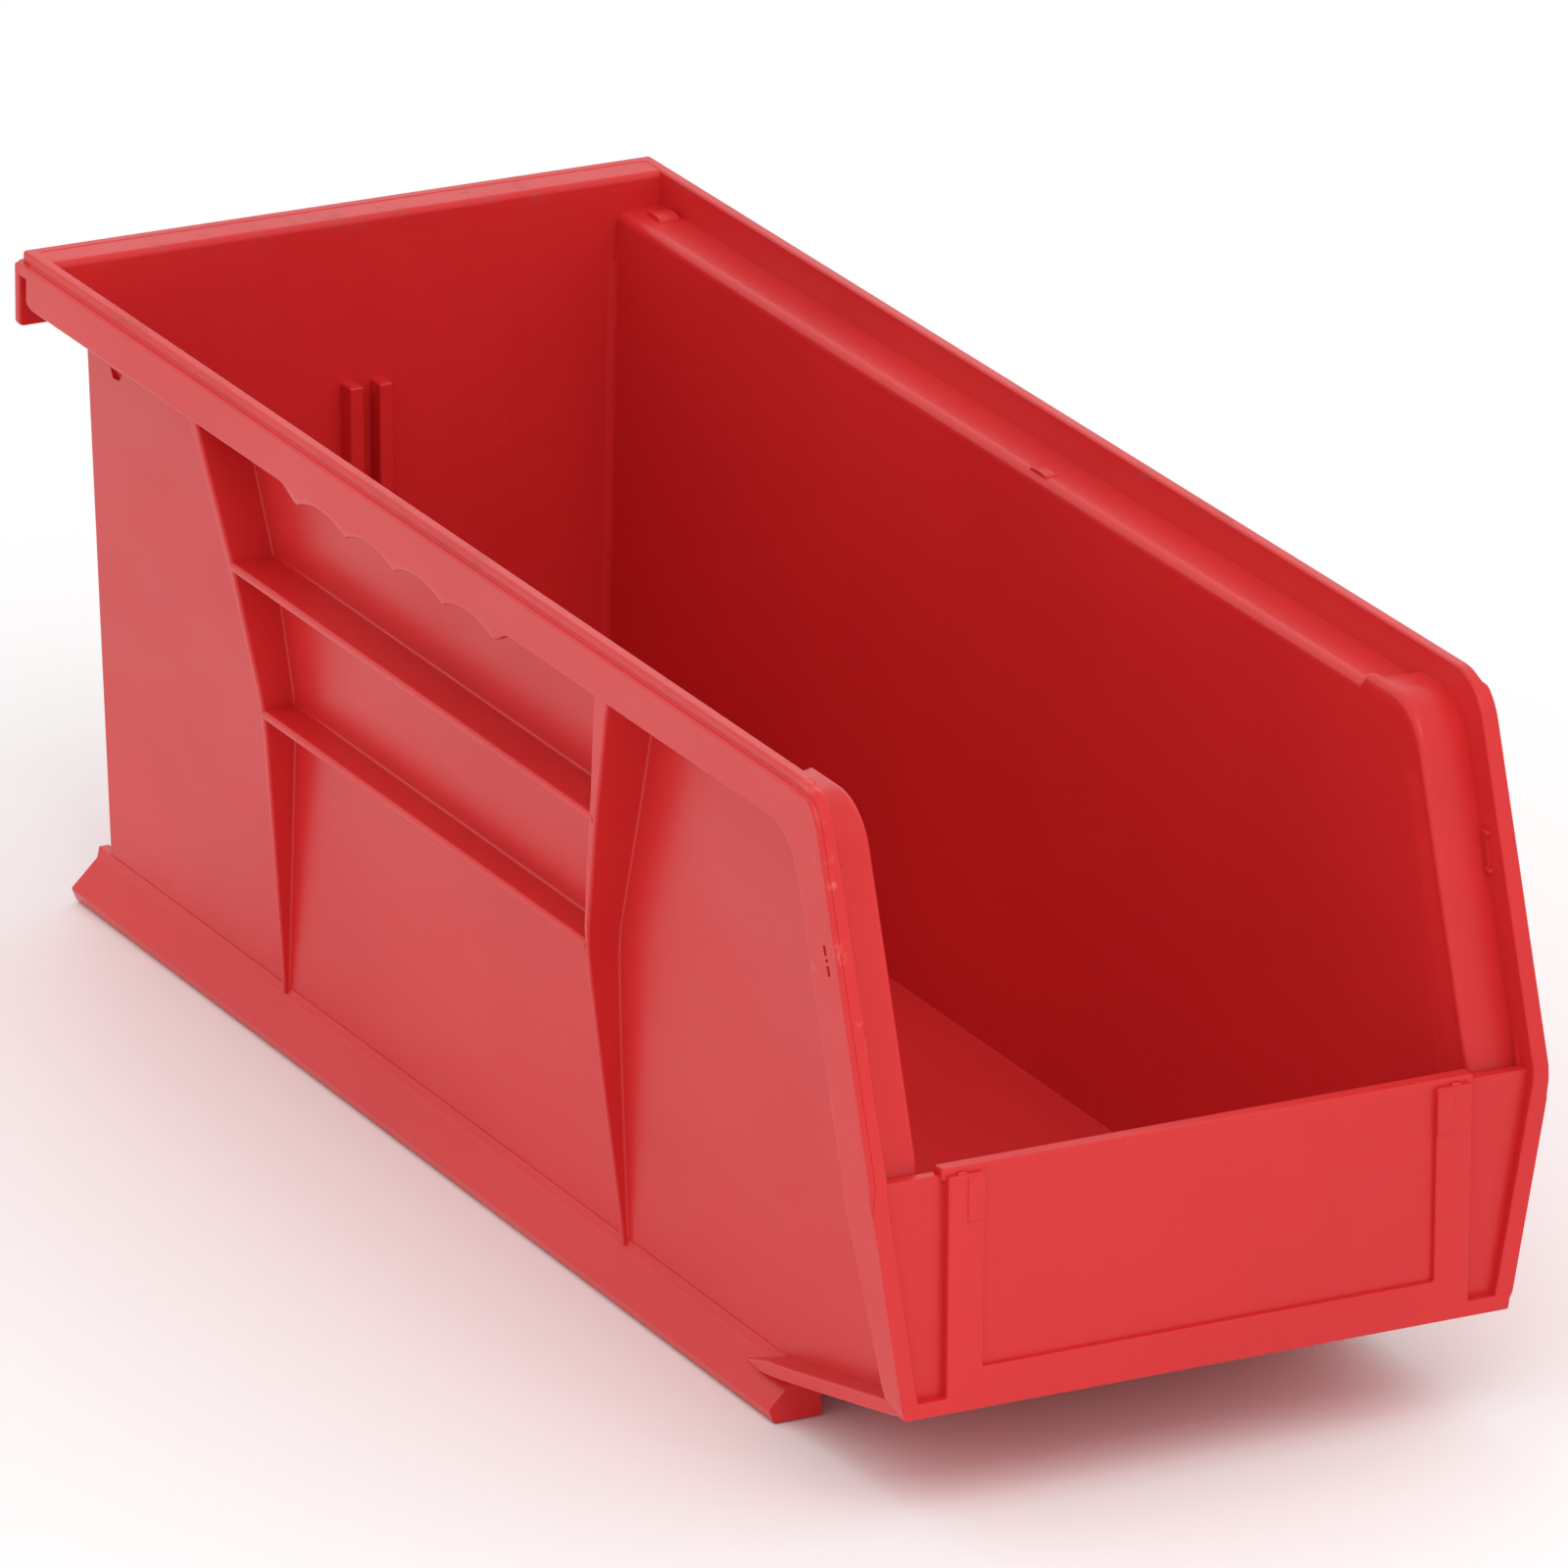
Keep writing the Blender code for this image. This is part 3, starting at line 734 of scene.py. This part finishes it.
REAR_LINE = ((76.0, 94.0), (66.9, 74.3), (61.2, 52.9), (63.9, 30.4), (66.9, 7.0))
FRONT_LINE = ((-57.7, 94.0), (-52.0, 76.7), (-43.6, 53.1), (-43.5, 32.6), (-44.0, 7.0))
REAR_T = ((8.0, 1.0), (53.0, 1.4), (75.0, 2.0), (94.0, 2.7))
FRONT_T = ((8.0, 1.0), (53.0, 1.1), (66.0, 2.1), (76.0, 2.3), (89.0, 3.8), (94.0, 4.2))


def line_y(line, z):
    return table(z, tuple((zz, yy) for yy, zz in reversed(line)))


def make_gusset(line, thickness):
    """A fin with rounded outer edges and a fillet where it grows out of the wall."""
    levels = [94.0, 90.0, 86.0, 82.0, 78.0, 74.5, 70.0, 66.0, 62.0, 58.0, 55.5, 53.5, 51.5]
    levels += [48.0, 44.0, 40.0, 36.0, 32.0, 28.0, 24.0, 20.0, 16.0, 13.0, 10.0, 7.0]
    rings = []
    for z in levels:
        y = line_y(line, z)
        if 51 < z < 56:
            y = (line_y(line, z - 2.5) + line_y(line, z + 2.5)) / 2
        thick = table(z, thickness)
        skin = wall_x(z) + WALL_T
        outer = rib_x(z)
        depth = max(0.1, outer - skin)
        fillet = max(0.05, min(0.4, depth * 0.45))
        edge = max(0.03, min(0.45, thick * 0.3, depth * 0.3))
        section = [
            (skin - 1.0, y - fillet, 0.0),
            (skin, y - fillet, 0.0),
            (skin + fillet, y, 0.0),
            (outer, y, edge),
            (outer, y + thick, edge),
            (skin + fillet, y + thick, 0.0),
            (skin, y + thick + fillet, 0.0),
            (skin - 1.0, y + thick + fillet, 0.0),
        ]
        cove = [
            (skin + fillet * (1 - math.cos(a)), y - fillet * (1 - math.sin(a)))
            for a in (0.0, 0.4, 0.8, 1.2, math.pi / 2)
        ]
        far = [(x, 2 * y + thick - v) for x, v in reversed(cove)]
        edges = round_polygon([(skin, y, 0.0)] + section[3:5] + [(skin, y + thick, 0.0)], 4)
        ring = [(skin - 1.0, y - fillet)] + cove + edges[1:-1] + far
        ring += [(skin - 1.0, y + thick + fillet)]
        rings.append([(x, v, z) for x, v in ring])
    return loft(rings)


def make_shelf(top):
    """A shelf between the gussets with a rounded edge and fillets at the wall."""
    thick = 1.5
    skin = wall_x(top) + WALL_T
    outer = rib_x(top)
    fillet = 0.45
    cove = [
        (skin + fillet * (1 - math.cos(a)), top + fillet * (1 - math.sin(a)))
        for a in (0.0, 0.4, 0.8, 1.2, math.pi / 2)
    ]
    low = [(x - 0.04, 2 * top - thick - v) for x, v in reversed(cove)]
    edge = round_polygon(
        [(skin, top, 0.0), (outer, top, 0.6), (outer, top - thick, 0.55), (skin, top - thick, 0.0)],
        5,
    )
    ring = [(skin - 1.0, top + fillet)] + cove + edge[1:-1] + low
    ring += [(skin - 1.0, top - thick - fillet)]
    rear = line_y(REAR_LINE, top) + 1.0
    front = line_y(FRONT_LINE, top) + table(top, FRONT_T) * 0.6
    return along_y(ring, front, rear)


# ---------------------------------------------------------------- small features


def make_stop(y, x, length, width, height):
    """A low rounded lug on the ledge."""
    steps = 10
    base = LEDGE_Z
    arc = [(y + length / 2, base - 0.4)]
    for i in range(steps + 1):
        a = math.pi * i / steps
        arc.append((y + length / 2 * math.cos(a), base + height * math.sin(a) + 0.02))
    arc.append((y - length / 2, base - 0.4))
    return bevelled(along_x(arc, x - width / 2, x + width / 2), 0.25, 3, 40)


def make_dashes():
    """Three short engraved marks on the left rim's outer face, in line with the slope."""
    start, end = (-123.8, 80.6), (-125.5, 76.7)
    along = unit(start, end)
    length = math.dist(start, end)
    pieces = []
    for low, high in ((0.0, 1.4), (1.9, 2.3), (2.8, length)):
        a = (start[0] + along[0] * low, start[1] + along[1] * low)
        b = (start[0] + along[0] * high, start[1] + along[1] * high)
        side = (-along[1] * 0.36, along[0] * 0.36)
        outline = [
            (a[0] + side[0], a[1] + side[1]),
            (b[0] + side[0], b[1] + side[1]),
            (b[0] - side[0], b[1] - side[1]),
            (a[0] - side[0], a[1] - side[1]),
        ]
        pieces.append(along_x(outline, -HALF_W - 1.0, -HALF_W + 0.4))
    return pieces


def make_nick():
    """A small slanted nick in the left wall, just under the skirt."""
    skin = wall_x(86.0) + WALL_T
    outline = [(122.4, 86.8), (118.2, 86.8), (119.4, 85.5), (121.6, 85.3)]
    return along_x(outline, -skin - 1.0, -skin + 0.7)


def make_pins():
    """Two small moulding witnesses with a bar between them, inside the right rim."""
    pieces = []
    for y, z in ((-123.9, 80.4), (-124.9, 75.2)):
        pin = box((UPSTAND_X - 0.6, y - 0.9, z - 0.35), (UPSTAND_X + 0.5, y + 0.9, z + 0.35))
        pieces.append(bevelled(pin, 0.2, 3))
    bar = [(-124.2, 80.2), (-125.0, 75.4), (-124.6, 75.4), (-123.8, 80.2)]
    pieces.append(along_x(bar, UPSTAND_X - 0.35, UPSTAND_X + 0.5))
    return pieces


def both_sides(maker, *values):
    return [maker(*values), mirrored(maker(*values))]


def build_shell():
    tub = make_tub()
    works = []
    works += both_sides(make_rim_band)
    works += both_sides(make_ledge)
    works += make_rear_rim()
    works += [make_back_top()] + make_front_wall()
    works += make_front_frame()
    works += make_guides()
    works += both_sides(make_foot)
    works += both_sides(make_base_strip)
    works += both_sides(make_gusset, REAR_LINE, REAR_T)
    works += both_sides(make_gusset, FRONT_LINE, FRONT_T)
    for top in SHELF_TOPS:
        works += both_sides(make_shelf, top)
    works += both_sides(make_stop, 124.0, 47.4, 5.0, 3.4, 0.8)
    works += [make_stop(-4.0, 44.0, 5.0, 2.0, 0.4), mirrored(make_stop(-4.0, 45.6, 5.0, 2.0, 0.25))]
    works += make_pins()
    others = [as_object(work, "part_%02d" % i) for i, work in enumerate(works)]
    shell = boolean(tub, others, "UNION")
    marks = [as_object(work, "mark") for work in make_dashes() + [make_nick()]]
    return boolean(shell, marks, "DIFFERENCE")


def finish_mesh(obj):
    """Smooth shading with sharp edges kept, and normals weighted by face area."""
    mesh = obj.data
    for face in mesh.polygons:
        face.use_smooth = True
    mesh.set_sharp_from_angle(angle=math.radians(32))
    weighted = obj.modifiers.new("weighted", "WEIGHTED_NORMAL")
    weighted.mode = "FACE_AREA"
    weighted.weight = 50
    weighted.keep_sharp = True


# ---------------------------------------------------------------- material


class Graph:
    """Small helpers for building a node material."""

    def __init__(self, name):
        self.material = bpy.data.materials.new(name)
        self.material.use_nodes = True
        self.tree = self.material.node_tree
        self.shader = self.tree.nodes["Principled BSDF"]
        coords = self.tree.nodes.new("ShaderNodeTexCoord")
        self.coords = coords.outputs["Object"]

    def put(self, kind, values, **settings):
        """A node with its settings, and with numbers or links on its inputs."""
        node = self.tree.nodes.new(kind)
        for key, value in settings.items():
            setattr(node, key, value)
        for key, value in values.items():
            if isinstance(value, bpy.types.NodeSocket):
                self.tree.links.new(value, node.inputs[key])
            else:
                node.inputs[key].default_value = value
        return node

    def noise(self, size_mm, stretch=(1, 1, 1), detail=3.0, rough=0.55, twist=0.0):
        """Noise whose features are about this many millimetres across."""
        scale = tuple(v / (size_mm * MM) for v in stretch)
        place = self.put("ShaderNodeMapping", {"Vector": self.coords, "Scale": scale})
        values = {
            "Vector": place.outputs[0], "Scale": 1.0, "Detail": detail,
            "Roughness": rough, "Distortion": twist,
        }
        return self.put("ShaderNodeTexNoise", values).outputs["Fac"]

    def span(self, value, low, high, to_low=0.0, to_high=1.0):
        """Maps low..high to to_low..to_high, smoothly and clamped."""
        values = {
            "Value": value, "From Min": low, "From Max": high,
            "To Min": to_low, "To Max": to_high,
        }
        node = self.put("ShaderNodeMapRange", values, interpolation_type="SMOOTHSTEP")
        return node.outputs["Result"]

    def math(self, operation, a, b):
        return self.put("ShaderNodeMath", {0: a, 1: b}, operation=operation).outputs[0]

    def blend(self, share, a, b):
        node = self.put("ShaderNodeMix", {}, data_type="RGBA")
        for index, value in ((0, share), (6, a), (7, b)):
            if isinstance(value, bpy.types.NodeSocket):
                self.tree.links.new(value, node.inputs[index])
            else:
                node.inputs[index].default_value = value
        return node.outputs[2]

    def link(self, value, name):
        self.tree.links.new(value, self.shader.inputs[name])


def plastic():
    """Red polypropylene: pigment mottle, flow marks, handling scuffs and rim grime."""
    g = Graph("red_polypropylene")
    axes = g.put("ShaderNodeSeparateXYZ", {"Vector": g.coords})
    across, along, up = axes.outputs[0], axes.outputs[1], axes.outputs[2]

    mottle = g.noise(70, detail=2.0)
    flow = g.noise(9, (1.0, 0.14, 0.5), detail=3.0, twist=0.6)
    red = g.blend(g.span(mottle, 0.3, 0.7), (0.655, 0.0250, 0.0265, 1), (0.605, 0.0215, 0.0240, 1))
    red = g.blend(g.span(flow, 0.35, 0.75, 0.0, 0.22), red, (0.69, 0.029, 0.028, 1))

    rim = g.span(up, 0.0985, 0.1012)
    slope_side = g.span(along, -0.112, -0.118)
    left = g.span(across, -0.047, -0.0505)
    patches = g.span(g.noise(4.5, (1, 0.5, 1), detail=5.0, rough=0.7), 0.56, 0.74)
    edge = g.math("MULTIPLY", g.math("MULTIPLY", slope_side, left), patches)
    high = g.math("MULTIPLY", g.span(up, 0.062, 0.07), g.math("MULTIPLY", edge, 0.65))
    hairs = g.span(g.noise(1.6, (0.3, 0.06, 1.4), detail=4.0, rough=0.7, twist=0.2), 0.66, 0.74)
    where = g.span(g.noise(30, detail=2.0), 0.5, 0.68, 0.0, 0.12)
    scuff = g.math("MAXIMUM", high, g.math("MULTIPLY", hairs, where))
    color = g.blend(scuff, red, (0.80, 0.20, 0.17, 1))

    dust_spots = g.span(g.noise(6, (1, 0.35, 1), detail=5.0, rough=0.75), 0.52, 0.72, 0.0, 0.42)
    dust = g.math("MULTIPLY", rim, dust_spots)
    color = g.blend(dust, color, (0.30, 0.085, 0.065, 1))
    specks = g.span(g.noise(0.7, detail=1.0), 0.76, 0.82, 0.0, 0.35)
    color = g.blend(specks, color, (0.25, 0.006, 0.010, 1))
    g.link(color, "Base Color")

    gloss = g.span(g.noise(24, (1, 0.4, 1), detail=4.0), 0.3, 0.7, 0.27, 0.37)
    gloss = g.math("ADD", gloss, g.math("MULTIPLY", scuff, 0.25))
    gloss = g.math("ADD", gloss, g.math("MULTIPLY", dust, 0.4))
    g.link(gloss, "Roughness")

    grain = g.noise(0.55, detail=3.0, rough=0.6)
    sink = g.noise(38, (1, 0.6, 1), detail=1.0)
    fine = g.put("ShaderNodeBump", {"Height": grain, "Strength": 0.05, "Distance": 0.0002})
    wide = g.put(
        "ShaderNodeBump",
        {"Height": sink, "Strength": 0.35, "Distance": 0.0009, "Normal": fine.outputs[0]},
    )
    g.link(wide.outputs[0], "Normal")
    g.shader.inputs["IOR"].default_value = 1.46
    g.shader.inputs["Specular IOR Level"].default_value = 0.34
    return g.material


# ---------------------------------------------------------------- stage


def plain(name, color, rough):
    material = bpy.data.materials.new(name)
    material.use_nodes = True
    shader = material.node_tree.nodes["Principled BSDF"]
    shader.inputs["Base Color"].default_value = (*color, 1)
    shader.inputs["Roughness"].default_value = rough
    return material


def make_stage():
    mesh = bpy.data.meshes.new("floor")
    size = 6.0
    mesh.from_pydata(
        [(-size, -size, 0), (size, -size, 0), (size, size, 0), (-size, size, 0)], [], [(0, 1, 2, 3)]
    )
    floor = bpy.data.objects.new("studio_floor", mesh)
    floor.location.z = CAD_BOX[0][2] - 0.0002
    bpy.context.scene.collection.objects.link(floor)
    mesh.materials.append(plain("pale_floor", (0.94, 0.94, 0.94), 0.7))


def area_light(name, location, target, size, power):
    data = bpy.data.lights.new(name, "AREA")
    data.shape = "RECTANGLE"
    data.size, data.size_y = size
    data.energy = power
    lamp = bpy.data.objects.new(name, data)
    lamp.location = location
    direction = Vector(target) - Vector(location)
    lamp.rotation_euler = direction.to_track_quat("-Z", "Y").to_euler()
    bpy.context.scene.collection.objects.link(lamp)


def make_light():
    world = bpy.data.worlds.new("studio")
    world.use_nodes = True
    world.node_tree.nodes["Background"].inputs["Color"].default_value = (1, 1, 1, 1)
    world.node_tree.nodes["Background"].inputs["Strength"].default_value = 1.0
    bpy.context.scene.world = world
    bpy.context.scene.view_settings.view_transform = "Standard"
    area_light("key", (-0.1, -0.9, 1.2), (0, 0, 0.05), (0.8, 0.8), 4.0)


def make_camera():
    """A long lens, from the left of the open front and a little above."""
    azimuth, elevation, roll = (math.radians(v) for v in (-27.08, 20.08, 0.33))
    lens, sensor, distance = 387.054, 36.0, 2421.45
    shift_x, shift_y = -4.51, 51.35
    forward = Vector((
        -math.sin(azimuth) * math.cos(elevation),
        math.cos(azimuth) * math.cos(elevation),
        -math.sin(elevation),
    ))
    right = Vector((math.cos(azimuth), math.sin(azimuth), 0.0))
    down = -right.cross(forward)
    turned_right = right * math.cos(roll) - down * math.sin(roll)
    turned_down = right * math.sin(roll) + down * math.cos(roll)
    place = -(turned_right * shift_x + turned_down * shift_y + forward * distance)
    data = bpy.data.cameras.new("camera")
    data.sensor_width = sensor
    data.lens = lens
    data.clip_end = 20.0
    camera = bpy.data.objects.new("camera", data)
    turn = Matrix((turned_right, -turned_down, -forward)).transposed()
    camera.matrix_world = Matrix.Translation(place * MM) @ turn.to_4x4()
    bpy.context.scene.collection.objects.link(camera)
    bpy.context.scene.camera = camera


def main():
    make_camera()
    make_stage()
    make_light()
    shell = build_shell()
    finish_mesh(shell)
    shell.data.materials.clear()
    shell.data.materials.append(plastic())
    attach(shell, "root")
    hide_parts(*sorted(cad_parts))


main()
